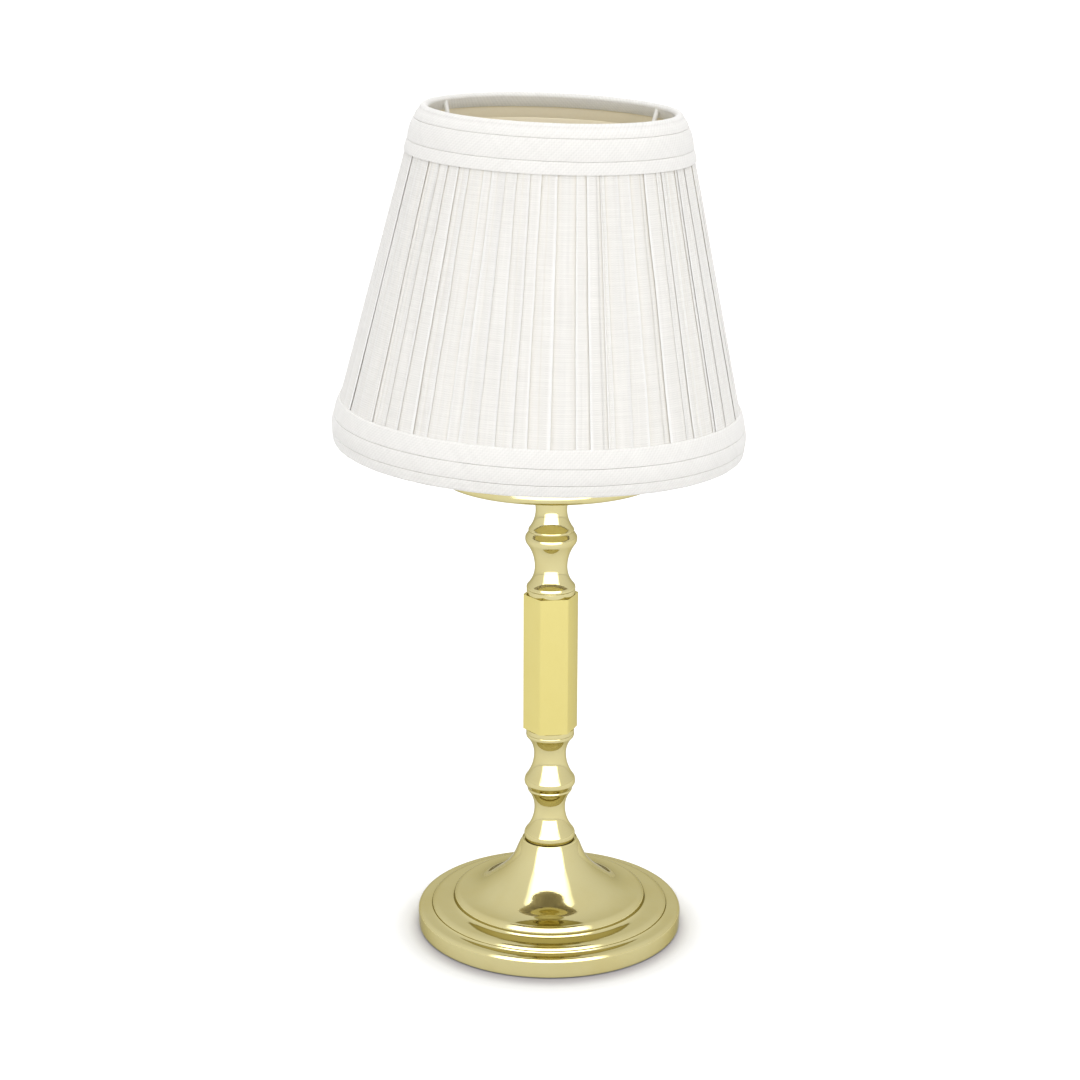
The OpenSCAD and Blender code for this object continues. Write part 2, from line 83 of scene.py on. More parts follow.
def placeCamera():
    pitch = math.radians(studio["pitch"])
    back = Vector((0, -math.cos(pitch), math.sin(pitch)))
    aim = Vector((-studio["lampOffset"], 0, studio["aimHeight"]))
    bpy.ops.object.camera_add(location=aim + back * studio["distance"])
    camera = bpy.context.object
    camera.name = "photoCamera"
    turn = back.to_track_quat("Z", "Y").to_matrix().to_4x4()
    turn = turn @ Matrix.Rotation(math.radians(studio["roll"]), 4, "Z")
    camera.rotation_euler = turn.to_euler()
    camera.data.sensor_width = 36
    camera.data.lens = studio["focalPixels"] / studio["photoSide"] * 36
    camera.data.clip_end = 100
    bpy.context.scene.camera = camera


# A card fades out at its two sides, and isn't seen in the mirror of a mirror.
def softenCard(light):
    light.use_nodes = True
    tree = light.node_tree
    path = addNode(tree, "ShaderNodeLightPath")
    across = addNode(tree, "ShaderNodeSeparateXYZ")
    where = addNode(tree, "ShaderNodeNewGeometry")
    tree.links.new(where.outputs["Parametric"], across.inputs[0])
    offMiddle = maths(tree, "ABSOLUTE", maths(tree, "SUBTRACT", across.outputs["X"], 0.5))
    side = maths(tree, "SUBTRACT", 0.5, offMiddle)
    fade = remap(tree, side, (0.0, studio["cardFade"]), interpolation_type="SMOOTHSTEP")
    direct = maths(tree, "LESS_THAN", path.outputs["Ray Depth"], studio["cardDepth"])
    strength = maths(tree, "MULTIPLY", direct, fade)
    tree.links.new(strength, tree.nodes["Emission"].inputs["Strength"])


def addSoftbox(name, kind, place, size, glow, aim=(0, 0, 0.15)):
    bpy.ops.object.light_add(type="AREA", location=place)
    lamp = bpy.context.object
    lamp.name = name
    lamp.rotation_euler = (Vector(place) - Vector(aim)).to_track_quat("Z", "Y").to_euler()
    lamp.data.shape = "RECTANGLE"
    lamp.data.size, lamp.data.size_y = size
    lamp.data.energy = glow * math.pi * size[0] * size[1]
    lamp.visible_diffuse = kind != "card"
    lamp.visible_glossy = kind != "fill"
    lamp.visible_camera = False
    if kind == "card":
        softenCard(lamp.data)


def lightStudio():
    world = bpy.data.worlds.new("studioWalls")
    bpy.context.scene.world = world
    world.use_nodes = True
    tree = world.node_tree
    where = addNode(tree, "ShaderNodeTexCoord")
    lean = addNode(tree, "ShaderNodeVectorMath", operation="DOT_PRODUCT")
    lean.inputs[1].default_value = studio["wallSlope"]
    tree.links.new(where.outputs["Generated"], lean.inputs[0])
    level = maths(tree, "ADD", lean.outputs["Value"], 1.0)
    path = addNode(tree, "ShaderNodeLightPath")
    twice = maths(tree, "GREATER_THAN", path.outputs["Glossy Depth"], studio["wallDepth"])
    dimming = maths(tree, "SUBTRACT", 1.0, maths(tree, "MULTIPLY", twice, 1 - studio["mirroredTwice"]))
    sky = tree.nodes["Background"]
    sky.inputs["Color"].default_value = (*studio["walls"], 1)
    tree.links.new(maths(tree, "MULTIPLY", level, dimming), sky.inputs["Strength"])
    for name, settings in softboxes.items():
        addSoftbox(name, **settings)


def layFloor():
    bpy.ops.object.select_all(action="DESELECT")
    bpy.ops.mesh.primitive_grid_add(x_subdivisions=4, y_subdivisions=4, size=studio["floorSize"])
    floor = bpy.context.object
    floor.name = "paleFloor"
    floor.data.materials.append(makeFloorPaint())


def newMaterial(name, colour, roughness, metallic=0.0):
    material = bpy.data.materials.new(name)
    material.use_nodes = True
    shader = material.node_tree.nodes["Principled BSDF"]
    shader.inputs["Base Color"].default_value = (*colour, 1)
    shader.inputs["Roughness"].default_value = roughness
    shader.inputs["Metallic"].default_value = metallic
    return material, shader


def addNode(tree, kind, **values):
    node = tree.nodes.new(kind)
    for key, value in values.items():
        if key in node.inputs:
            node.inputs[key].default_value = value
        else:
            setattr(node, key, value)
    return node


def maths(tree, operation, first, second=None):
    node = tree.nodes.new("ShaderNodeMath")
    node.operation = operation
    for socket, value in zip(node.inputs, (first, second)):
        if value is None:
            continue
        if isinstance(value, (int, float)):
            socket.default_value = value
        else:
            tree.links.new(value, socket)
    return node.outputs[0]


def remap(tree, value, fromRange, toRange=(0.0, 1.0), **values):
    node = addNode(tree, "ShaderNodeMapRange", **values)
    for socket, level in zip(node.inputs[1:5], (*fromRange, *toRange)):
        socket.default_value = level
    tree.links.new(value, node.inputs["Value"])
    return node.outputs[0]


# The first colour may also be the output of another node.
def mixColours(tree, share, first, second):
    node = addNode(tree, "ShaderNodeMix", data_type="RGBA")
    if isinstance(first, tuple):
        node.inputs[6].default_value = (*first, 1)
    else:
        tree.links.new(first, node.inputs[6])
    node.inputs[7].default_value = (*second, 1)
    tree.links.new(share, node.inputs[0])
    return node.outputs[2]


def addBump(tree, shader, height, strength, distance):
    bump = addNode(tree, "ShaderNodeBump", Strength=strength, Distance=distance)
    tree.links.new(height, bump.inputs["Height"])
    tree.links.new(bump.outputs[0], shader.inputs["Normal"])


# Noise over the piece's own coordinates.
def grainOf(tree, scale, detail):
    where = addNode(tree, "ShaderNodeTexCoord")
    grain = addNode(tree, "ShaderNodeTexNoise", Scale=scale, Detail=detail)
    tree.links.new(where.outputs["Object"], grain.inputs["Vector"])
    return grain.outputs[0]


def makeGroup(name, inputs, outputs):
    group = bpy.data.node_groups.new(name, "ShaderNodeTree")
    for label, kind, value in inputs:
        socket = group.interface.new_socket(label, in_out="INPUT", socket_type=kind)
        if value is not None:
            socket.default_value = value
    for label, kind in outputs:
        group.interface.new_socket(label, in_out="OUTPUT", socket_type=kind)
    return group, group.nodes.new("NodeGroupInput"), group.nodes.new("NodeGroupOutput")


def useGroup(tree, group, **values):
    node = tree.nodes.new("ShaderNodeGroup")
    node.node_tree = group
    for key, value in values.items():
        node.inputs[key].default_value = value
    return node


# Fine lines left by polishing round a turned piece, with faint cloudy wear in the lacquer.
def makePolishLines():
    group, given, out = makeGroup("polishLines",
        [("Vector", "NodeSocketVector", None), ("Lines", "NodeSocketFloat", 900.0),
         ("Cloud", "NodeSocketFloat", 60.0), ("Roughness", "NodeSocketFloat", 0.1),
         ("Spread", "NodeSocketFloat", 0.05)],
        [("Height", "NodeSocketFloat"), ("Roughness", "NodeSocketFloat"), ("Wear", "NodeSocketFloat")])
    split = addNode(group, "ShaderNodeSeparateXYZ")
    group.links.new(given.outputs["Vector"], split.inputs[0])
    angle = maths(group, "ARCTAN2", split.outputs["Y"], split.outputs["X"])
    squares = [maths(group, "POWER", split.outputs[axis], 2) for axis in "XY"]
    radius = maths(group, "SQRT", maths(group, "ADD", *squares))
    # the lines hardly change round the piece, and quickly across it
    join = addNode(group, "ShaderNodeCombineXYZ")
    group.links.new(maths(group, "MULTIPLY", maths(group, "SINE", angle), 0.6), join.inputs[0])
    group.links.new(maths(group, "MULTIPLY", radius, given.outputs["Lines"]), join.inputs[1])
    group.links.new(maths(group, "MULTIPLY", split.outputs["Z"], given.outputs["Lines"]), join.inputs[2])
    lines = addNode(group, "ShaderNodeTexNoise", Scale=3.0, Detail=4.0)
    group.links.new(join.outputs[0], lines.inputs["Vector"])
    cloud = addNode(group, "ShaderNodeTexNoise", Detail=5.0)
    group.links.new(given.outputs["Vector"], cloud.inputs["Vector"])
    group.links.new(given.outputs["Cloud"], cloud.inputs["Scale"])
    group.links.new(lines.outputs[0], out.inputs["Height"])
    wear = maths(group, "SUBTRACT", cloud.outputs[0], 0.5)
    rough = maths(group, "ADD", given.outputs["Roughness"],
        maths(group, "MULTIPLY", wear, given.outputs["Spread"]))
    group.links.new(rough, out.inputs["Roughness"])
    group.links.new(cloud.outputs[0], out.inputs["Wear"])
    return group


brassFinish = {
    "colour": (0.83, 0.745, 0.38),
    "shade": (0.80, 0.70, 0.33),      # slightly deeper where the lacquer is thick
    "roughness": 0.055,
    "spread": 0.03,                   # how much the roughness varies in the clouds of wear
    "wear": (0.45, 0.75),
    "lines": 900.0,
    "lineDepth": 0.03,
    "lacquer": 0.15,
    "lacquerRoughness": 0.03,
    "edge": (0.62, 0.58, 0.40),       # darker where the metal turns away
}


def makeBrass(name="polishedBrass", **changes):
    look = dict(brassFinish, **changes)
    material, shader = newMaterial(name, look["colour"], look["roughness"], 1.0)
    tree = material.node_tree
    where = addNode(tree, "ShaderNodeTexCoord")
    polish = useGroup(tree, polishGroup, Lines=look["lines"], Roughness=look["roughness"],
        Spread=look["spread"])
    tree.links.new(where.outputs["Object"], polish.inputs["Vector"])
    worn = remap(tree, polish.outputs["Wear"], look["wear"])
    tint = mixColours(tree, worn, look["colour"], look["shade"])
    tree.links.new(tint, shader.inputs["Base Color"])
    tree.links.new(polish.outputs["Roughness"], shader.inputs["Roughness"])
    addBump(tree, shader, polish.outputs["Height"], look["lineDepth"], 0.0002)
    shader.inputs["Specular Tint"].default_value = (*look["edge"], 1)
    shader.inputs["Coat Weight"].default_value = look["lacquer"]
    shader.inputs["Coat Roughness"].default_value = look["lacquerRoughness"]
    return material


# Painted shade: faces in a groove get a dark brown finish where the gap keeps the light off.
def paintGrooveShade(piece, inCrevice):
    piece.data.materials.append(grooveShade)
    darkened = 0
    for polygon in piece.data.polygons:
        x, y, z = polygon.center / mm
        if inCrevice(math.hypot(x, y), z):
            polygon.material_index = len(piece.data.materials) - 1
            darkened += 1
    print("darkened", darkened, "faces of", piece.name)


# The ground is bleached white, more so far off, and carries a painted shadow right beside the foot; both are
# seen only by the camera, so the metal mirrors the ground as it is.
def makeFloorPaint():
    material, shader = newMaterial("paleFloorPaint", studio["floorPaint"], 1.0)
    shader.inputs["Specular IOR Level"].default_value = 0.0
    tree = material.node_tree
    where = addNode(tree, "ShaderNodeTexCoord")
    shifted = addNode(tree, "ShaderNodeVectorMath", operation="SUBTRACT")
    shifted.inputs[1].default_value = studio["shadeMiddle"]
    tree.links.new(where.outputs["Object"], shifted.inputs[0])
    away = addNode(tree, "ShaderNodeVectorMath", operation="LENGTH")
    tree.links.new(shifted.outputs[0], away.inputs[0])
    away = away.outputs["Value"]
    bleach = remap(tree, away, studio["bleachReach"], studio["floorBleach"])
    # painted shadow: a darker ground colour beside the foot, for camera rays only
    shadowMask = remap(tree, away, studio["paintedRimShadowReach"], (1.0, 0.0), interpolation_type="SMOOTHSTEP")
    seen = addNode(tree, "ShaderNodeLightPath").outputs["Is Camera Ray"]
    shadowColour = (paint * tone for paint, tone in zip(studio["floorPaint"], studio["paintedRimShadow"]))
    ground = mixColours(tree, maths(tree, "MULTIPLY", seen, shadowMask), studio["floorPaint"], shadowColour)
    tree.links.new(ground, shader.inputs["Base Color"])
    shader.inputs["Emission Color"].default_value = (1, 1, 1, 1)
    tree.links.new(maths(tree, "MULTIPLY", seen, bleach), shader.inputs["Emission Strength"])
    return material


# Two sets of threads crossing, drawn over u and v counted in threads.
def makeWeave():
    group, given, out = makeGroup("threadWeave",
        [("U", "NodeSocketFloat", 0.0), ("V", "NodeSocketFloat", 0.0), ("Slub", "NodeSocketFloat", 0.5)],
        [("Height", "NodeSocketFloat"), ("Shade", "NodeSocketFloat")])
    # thick places, long in the direction of the weft
    along = addNode(group, "ShaderNodeCombineXYZ")
    group.links.new(maths(group, "MULTIPLY", given.outputs["U"], 0.05), along.inputs[0])
    group.links.new(maths(group, "MULTIPLY", given.outputs["V"], 0.9), along.inputs[1])
    slubs = addNode(group, "ShaderNodeTexNoise", Scale=1.0, Detail=3.0)
    group.links.new(along.outputs[0], slubs.inputs["Vector"])
    wefts = maths(group, "SINE", maths(group, "MULTIPLY", given.outputs["V"], 2 * math.pi))
    warps = maths(group, "SINE", maths(group, "MULTIPLY", given.outputs["U"], 2 * math.pi))
    cross = maths(group, "MULTIPLY", wefts, warps)
    weave = maths(group, "ADD", maths(group, "MULTIPLY", cross, 0.3), maths(group, "MULTIPLY", wefts, 0.25))
    # streaks where warp threads bunch together
    upright = addNode(group, "ShaderNodeCombineXYZ")
    group.links.new(maths(group, "MULTIPLY", given.outputs["U"], 0.7), upright.inputs[0])
    group.links.new(maths(group, "MULTIPLY", given.outputs["V"], 0.02), upright.inputs[1])
    upright.inputs[2].default_value = 4.0
    streaks = addNode(group, "ShaderNodeTexNoise", Scale=1.0, Detail=2.0)
    group.links.new(upright.outputs[0], streaks.inputs["Vector"])
    both = maths(group, "ADD", slubs.outputs[0], streaks.outputs[0])
    uneven = maths(group, "MULTIPLY", maths(group, "SUBTRACT", both, 1.0), given.outputs["Slub"])
    total = maths(group, "ADD", weave, maths(group, "MULTIPLY", uneven, 3.0))
    group.links.new(total, out.inputs["Height"])
    group.links.new(maths(group, "ADD", maths(group, "MULTIPLY", total, 0.5), 0.5), out.inputs["Shade"])
    return group


clothLook = {
    "lit": (0.885, 0.868, 0.832),
    "tape": (0.905, 0.89, 0.86),       # the bindings, of a closer cloth
    "deep": (0.82, 0.775, 0.67),       # painted shade in the fold valleys, warm
    "lipHighlight": (0.94, 0.94, 0.93),       # painted highlight on the stretched edge of a fold
    "roughness": 0.85,
    "threadPitch": 0.7,                # mm between weft threads
    "threadShade": 0.09,
    "threadDepth": 0.35,
    "sheen": 0.25, "sheenRoughness": 0.5,
    "glow": 0.4,                       # light passing along inside the cloth
    "glowReach": 0.4,                  # mm
    "slub": 0.55, "tapeSlub": 0.3,     # how uneven the threads are
    "tapePitch": 1.5,                  # the tape's threads against the pleats'
}


# Colour, sheen and thread relief shared by the cloth pieces. Given a fold value, it paints shade into the
# valleys and a highlight onto the lips.
def finishCloth(tree, shader, weave, fold=None):
    light = clothLook["tape"] if fold is None else clothLook["lit"]
    dark = tuple(c * (1 - clothLook["threadShade"] * 2) for c in light)
    colour = mixColours(tree, weave.outputs["Shade"], dark, light)
    if fold is not None:
        # painted shade where the fold value is positive, painted highlight where it is negative
        for tone, sign in (("deep", 1.0), ("lipHighlight", -1.0)):
            amount = addNode(tree, "ShaderNodeMath", operation="MULTIPLY", use_clamp=True)
            amount.inputs[1].default_value = sign
            tree.links.new(fold, amount.inputs[0])
            colour = mixColours(tree, amount.outputs[0], colour, clothLook[tone])
    tree.links.new(colour, shader.inputs["Base Color"])
    addBump(tree, shader, weave.outputs["Height"], clothLook["threadDepth"], 0.0001)
    shader.inputs["Subsurface Weight"].default_value = clothLook["glow"]
    shader.inputs["Subsurface Scale"].default_value = clothLook["glowReach"] * mm
    shader.inputs["Subsurface Radius"].default_value = (1.0, 1.0, 1.0)
    shader.inputs["Sheen Weight"].default_value = clothLook["sheen"]
    shader.inputs["Sheen Roughness"].default_value = clothLook["sheenRoughness"]


def makePleatCloth():
    material, shader = newMaterial("linenPleats", clothLook["lit"], clothLook["roughness"])
    tree = material.node_tree
    cloth = addNode(tree, "ShaderNodeUVMap", uv_map="flatCloth")
    split = addNode(tree, "ShaderNodeSeparateXYZ")
    tree.links.new(cloth.outputs[0], split.inputs[0])
    weave = useGroup(tree, weaveGroup, Slub=clothLook["slub"])
    pitch = clothLook["threadPitch"] * mm
    tree.links.new(maths(tree, "MULTIPLY", split.outputs["X"], 1 / pitch), weave.inputs["U"])
    tree.links.new(maths(tree, "MULTIPLY", split.outputs["Y"], 1 / pitch), weave.inputs["V"])
    # the pleats' painted shade per vertex, with the painted lip highlight as negative values
    depth = addNode(tree, "ShaderNodeAttribute", attribute_name="foldShadeAndHighlight")
    finishCloth(tree, shader, weave, depth.outputs["Fac"])
    return material


# Tape cut on the bias, its threads slanting both ways round the shade.
def makeBiasTape(name, radius):
    material, shader = newMaterial(name, clothLook["lit"], clothLook["roughness"])
    tree = material.node_tree
    where = addNode(tree, "ShaderNodeTexCoord")
    upright = addNode(tree, "ShaderNodeMapping", vector_type="POINT")
    inverse = leanMatrix().inverted()
    upright.inputs["Location"].default_value = inverse.to_translation()
    upright.inputs["Rotation"].default_value = inverse.to_euler()
    tree.links.new(where.outputs["Object"], upright.inputs["Vector"])
    split = addNode(tree, "ShaderNodeSeparateXYZ")
    tree.links.new(upright.outputs[0], split.inputs[0])
    pitch = clothLook["threadPitch"] * clothLook["tapePitch"]
    turns = round(2 * math.pi * radius / pitch / math.sqrt(2))
    around = maths(tree, "ARCTAN2", split.outputs["Y"], split.outputs["X"])
    angle = maths(tree, "MULTIPLY", around, turns / (2 * math.pi))
    height = maths(tree, "MULTIPLY", split.outputs["Z"], 1 / (pitch * mm * math.sqrt(2)))
    weave = useGroup(tree, weaveGroup, Slub=clothLook["tapeSlub"])
    tree.links.new(maths(tree, "ADD", angle, height), weave.inputs["U"])
    tree.links.new(maths(tree, "SUBTRACT", angle, height), weave.inputs["V"])
    finishCloth(tree, shader, weave)
    return material


linerLook = {"colour": (0.94, 0.855, 0.67), "dark": (0.925, 0.835, 0.64), "light": (0.955, 0.88, 0.70),
    "roughness": 0.6, "grain": 900.0, "relief": 0.15}


def makeLinerCard():
    material, shader = newMaterial("creamLiner", linerLook["colour"], linerLook["roughness"])
    tree = material.node_tree
    grain = grainOf(tree, linerLook["grain"], 4.0)
    tint = mixColours(tree, grain, linerLook["dark"], linerLook["light"])
    tree.links.new(tint, shader.inputs["Base Color"])
    addBump(tree, shader, grain, linerLook["relief"], 0.0002)
    return material


# A plain finish with fine grain: plated steel, iron, felt, paint or plastic.
def makeSpeckled(name, light, dark, scale, roughness, metallic=0.0, relief=0.1):
    material, shader = newMaterial(name, light, roughness, metallic)
    tree = material.node_tree
    grain = grainOf(tree, scale, 5.0)
    tree.links.new(mixColours(tree, grain, dark, light), shader.inputs["Base Color"])
    rough = remap(tree, grain, (0.0, 1.0), (roughness * 0.85, roughness * 1.15))
    tree.links.new(rough, shader.inputs["Roughness"])
    addBump(tree, shader, grain, relief, 0.0003)
    return material


def makeClear(name, colour, roughness, ior):
    material, shader = newMaterial(name, colour, roughness)
    shader.inputs["Transmission Weight"].default_value = 1.0
    shader.inputs["IOR"].default_value = ior
    tree = material.node_tree
    addBump(tree, shader, grainOf(tree, 40.0, 2.0), 0.02, 0.001)
    return material


# Outlines are lists of (radius, height) in mm. This is a cubic curve from a to d with the handles b and c.
def curve(a, b, c, d, n=14):
    points = []
    for i in range(n + 1):
        t = i / n
        k = ((1 - t) ** 3, 3 * (1 - t) ** 2 * t, 3 * (1 - t) * t * t, t ** 3)
        points.append(tuple(k[0] * a[j] + k[1] * b[j] + k[2] * c[j] + k[3] * d[j] for j in (0, 1)))
    return points


def arc(centre, radius, start, end, n=8):
    points = []
    for i in range(n + 1):
        angle = math.radians(start + (end - start) * i / n)
        points.append((centre[0] + radius * math.cos(angle), centre[1] + radius * math.sin(angle)))
    return points


# A line that swells out by h at its middle, to the right of its direction.
def swell(a, b, h, n=8):
    dx, dz = b[0] - a[0], b[1] - a[1]
    long = math.hypot(dx, dz)
    points = []
    for i in range(n + 1):
        t = i / n
        out = h * 4 * t * (1 - t)
        points.append((a[0] + dx * t + dz / long * out, a[1] + dz * t - dx / long * out))
    return points


# One arc from the outer edge that comes upright at the middle of the neck.
def cove(edge, neck, n=14):
    wide, tall = edge[0] - neck[0], neck[1] - edge[1]
    r = (wide * wide + tall * tall) / 2 / wide
    turn = math.atan2(abs(tall), r - wide)
    angles = [turn * (1 - i / n) for i in range(n + 1)]
    return [(neck[0] + r * (1 - math.cos(a)), neck[1] - math.copysign(r, tall) * math.sin(a)) for a in angles]


def back(points):
    return list(reversed(points))


# The same line moved gap to the left of its direction.
def beside(points, gap):
    moved = []
    for i, p in enumerate(points):
        a, b = points[max(i - 1, 0)], points[min(i + 1, len(points) - 1)]
        dx, dz = b[0] - a[0], b[1] - a[1]
        long = math.hypot(dx, dz)
        moved.append((p[0] - gap * dz / long, p[1] + gap * dx / long))
    return moved


# Extrudes one vertex along the points and leaves the line selected in edit mode.
def drawOutline(name, points):
    bpy.ops.object.select_all(action="DESELECT")
    bpy.ops.mesh.primitive_plane_add(size=mm)
    piece = bpy.context.object
    piece.name = piece.data.name = name
    bpy.ops.object.mode_set(mode="EDIT")
    bpy.ops.mesh.select_mode(type="VERT")
    bpy.ops.mesh.select_all(action="SELECT")
    bpy.ops.mesh.merge(type="CENTER")
    here = Vector((0, 0, 0))
    for i, (r, z) in enumerate(points):
        there = Vector((r, 0, z)) * mm
        if i == 0:
            bpy.ops.transform.translate(value=there)
        elif (there - here).length > 1e-7:
            bpy.ops.mesh.extrude_region_move(TRANSFORM_OT_translate={"value": there - here})
        here = there
    bpy.ops.mesh.select_all(action="SELECT")
    return piece


# Spins an outline round the lamp's axis.
def turnPiece(name, points, steps=160, sharp=40):
    piece = drawOutline(name, points)
    bpy.ops.mesh.spin(steps=steps, angle=2 * math.pi, center=(0, 0, 0), axis=(0, 0, 1))
    bpy.ops.mesh.select_all(action="SELECT")
    bpy.ops.mesh.remove_doubles(threshold=2e-6)
    bpy.ops.mesh.normals_make_consistent(inside=False)
    bpy.ops.object.mode_set(mode="OBJECT")
    bpy.ops.object.shade_smooth_by_angle(angle=math.radians(sharp))
    return piece


def boxOf(node):
    low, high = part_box(node)
    return Vector(low) / mm, Vector(high) / mm


# Gives a piece its finish, the body that it rides on and the nodes that it stands for.
def settle(piece, body, material, slot, *nodes):
    piece.data.materials.clear()
    piece.data.materials.append(material)
    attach(piece, body)
    if nodes:
        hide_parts(*nodes)
    print("made", piece.name, len(piece.data.vertices), "vertices")


foot = {
    "rimHeight": 7.3, "rimRound": 1.5, "rimLift": 0.5, "rimWall": 3.6,
    "lowStep": (42.3, 9.4), "highStep": (34.4, 13.0), "stepRound": 2.2, "hollow": 0.5, "riser": 0.38,
    "collar": 9.9, "lipTop": 32.9, "lipWall": 0.5, "seat": 32.6, "sheet": 0.9,
    "rodHole": 3.25,
    # the flare is two curves that meet at its knee: shares of its run and of its drop
    "knee": (0.556, 0.267), "kneeHandle": (0.204, 0.182), "footHandle": 0.278, "kneeStretch": 1.82,
    "topHandle": (0.109, 0.17),
}


# A low riser and a rounded edge, up to radius r and height h.
def footStep(start, r, h, n=14):
    turn = start[1] + foot["riser"] * (h - start[1])
    angles = [math.pi / 2 * i / n for i in range(1, n + 1)]
    return (curve(start, (r + foot["hollow"], start[1]), (r, start[1]), (r, turn), 10)
        + [(r - foot["stepRound"] * (1 - math.cos(a)), turn + (h - turn) * math.sin(a)) for a in angles])


def flareOutline():
    start = (foot["highStep"][0] - foot["stepRound"] - 0.1, foot["highStep"][1])
    end = (foot["collar"], foot["lipTop"] - 0.6)
    run, drop = start[0] - end[0], end[1] - start[1]
    knee = (start[0] - foot["knee"][0] * run, start[1] + foot["knee"][1] * drop)
    outward = (foot["kneeHandle"][0] * run, -foot["kneeHandle"][1] * drop)
    stretch = foot["kneeStretch"]
    spread = curve(start, (start[0] - foot["footHandle"] * run, start[1]),
        (knee[0] + outward[0], knee[1] + outward[1]), knee, 30)
    throat = curve(knee, (knee[0] - stretch * outward[0], knee[1] - stretch * outward[1]),
        (end[0] + foot["topHandle"][0] * run, end[1] - foot["topHandle"][1] * drop), end, 30)
    return spread + throat


def buildFoot():
    rim, k = boxOf("base_shell")[1].x, foot["rimRound"]
    lowR, lowH = foot["lowStep"]
    flare = flareOutline()
    outside = [(rim - 0.25, foot["rimLift"]), (rim - 0.05, foot["rimLift"] + 0.3), (rim, 1.6),
        (rim, foot["rimWall"])]
    outside += arc((rim - k, foot["rimHeight"] - k), k, 0, 90, 10)
    outside += footStep((rim - k - 0.3, foot["rimHeight"]), lowR, lowH)
    outside += footStep((lowR - foot["stepRound"] - 0.6, lowH), *foot["highStep"])
    outside += flare
    lip = foot["collar"] - foot["lipWall"]
    inner = [p for p in beside(outside, foot["sheet"]) if p[1] < foot["seat"] - 2 * foot["sheet"]]
    top = curve(flare[-1], (foot["collar"] - 0.02, foot["lipTop"] - 0.2),
        (foot["collar"] - 0.1, foot["lipTop"]), (lip + 0.1, foot["lipTop"]), 5)
    under = foot["seat"] - foot["sheet"]
    seat = [(lip, foot["lipTop"] - 0.1), (lip, foot["seat"]), (foot["rodHole"], foot["seat"]),
        (foot["rodHole"], under), (foot["collar"] - foot["sheet"], under)]
    points = outside + top[1:] + seat + back(inner) + [outside[0]]
    shell = turnPiece("footShell", points, 224)
    settle(shell, "stand", brass, "brass", "base_shell")


column = {
    "length": 42.5, "foot": 9.1, "bead": 3.1, "neck": 5.6, "lowNeck": 12.1, "highNeckDrop": 9.8,
    "knob": 9.0, "knobLow": 18.7, "knobHigh": 23.9, "ring": 7.95, "ringHigh": 1.0, "coneHigh": 2.5,
    "shoulder": 8.55, "shoulderBand": 1.9, "shoulderRound": 1.4, "groove": 0.12,
    "undercut": 0.6, "undercutHigh": 0.28, "topUndercut": 0.3, "spigot": 7.15, "spigotHigh": 4.0,
}


# One baluster standing on its foot. Its neighbours' edges are kept apart by fine grooves.
def balusterOutline():
    c = column
    low, high = (c["neck"] - 0.1, c["lowNeck"]), (c["neck"] + 0.1, c["length"] - c["highNeckDrop"])
    under, beadTop = c["undercutHigh"], c["undercutHigh"] + c["bead"]
    foot, knob, shoulder, ring, groove = (c[key] for key in ("foot", "knob", "shoulder", "ring", "groove"))
    ringZ, coneZ = c["knobLow"] + c["ringHigh"], c["knobLow"] + c["coneHigh"]
    bandZ = c["length"] - c["shoulderBand"]
    roundZ = bandZ - c["shoulderRound"]
    return ([(0, 0), (foot - c["undercut"], 0), (foot - c["undercut"], under)]
        + curve((foot - 0.35, under), (foot + 0.15, under + 0.8), (foot + 0.15, beadTop - 0.8),
            (foot - 0.4, beadTop), 14)
        + cove((foot - 0.45, beadTop + groove), low, 24)
        + back(cove((ring - 0.2, c["knobLow"]), low, 24))
        + curve((ring - 0.15, c["knobLow"] + groove), (ring + 0.05, c["knobLow"] + 0.35),
            (ring + 0.05, ringZ - 0.35), (ring - 0.08, ringZ - groove), 8)
        + [(ring - groove, ringZ)]
        + curve((ring - 0.08, ringZ + 0.08), (knob - 0.45, coneZ - 0.35), (knob - 0.2, coneZ - 0.05),
            (knob, coneZ + 0.4), 12)
        + curve((knob, coneZ + 0.4), (knob + 0.13, coneZ + 0.95), (knob + 0.13, c["knobHigh"] - 0.7),
            (knob - 0.3, c["knobHigh"]), 14)[1:]
        + cove((knob - 0.35, c["knobHigh"] + groove), high, 24)
        + back(cove((shoulder - 0.25, roundZ), high, 24))
        + curve((shoulder - 0.2, roundZ + 0.06), (shoulder, roundZ + 0.45), (shoulder + 0.05, bandZ - 0.4),
            (shoulder - 0.03, bandZ - groove), 10)
        + [(shoulder - 0.05 - groove, bandZ)]
        + swell((shoulder - 0.05, bandZ + groove), (shoulder - 0.12, c["length"] - under), 0.05, 6)
        + [(shoulder - c["topUndercut"], c["length"] - under), (shoulder - c["topUndercut"], c["length"]),
            (c["spigot"], c["length"]), (c["spigot"], c["length"] + c["spigotHigh"]),
            (0, c["length"] + c["spigotHigh"])])


def buildColumn():
    outline = balusterOutline()
    base = boxOf("lower_baluster")[0].z
    top = boxOf("upper_baluster")[1].z

    # the undercut at each baluster end is darkened with painted shade
    def undercut(r, z):
        return r < column["foot"] - 0.4 and z < column["undercutHigh"] + 0.01

    lower = turnPiece("lowerBaluster", [(r, base + z) for r, z in outline], 128)
    settle(lower, "stand", brass, "brass", "lower_baluster")
    paintGrooveShade(lower, lambda r, z: undercut(r, z - base))
    upper = turnPiece("upperBaluster", [(r, top - z) for r, z in outline], 128)
    settle(upper, "stand", brass, "brass", "upper_baluster")
    paintGrooveShade(upper, lambda r, z: undercut(r, top - z))


sleeve = {"flats": 16.9, "turn": 8.0, "edgeRound": 0.35, "endRound": 0.25, "wall": 1.0, "sink": 3.0}


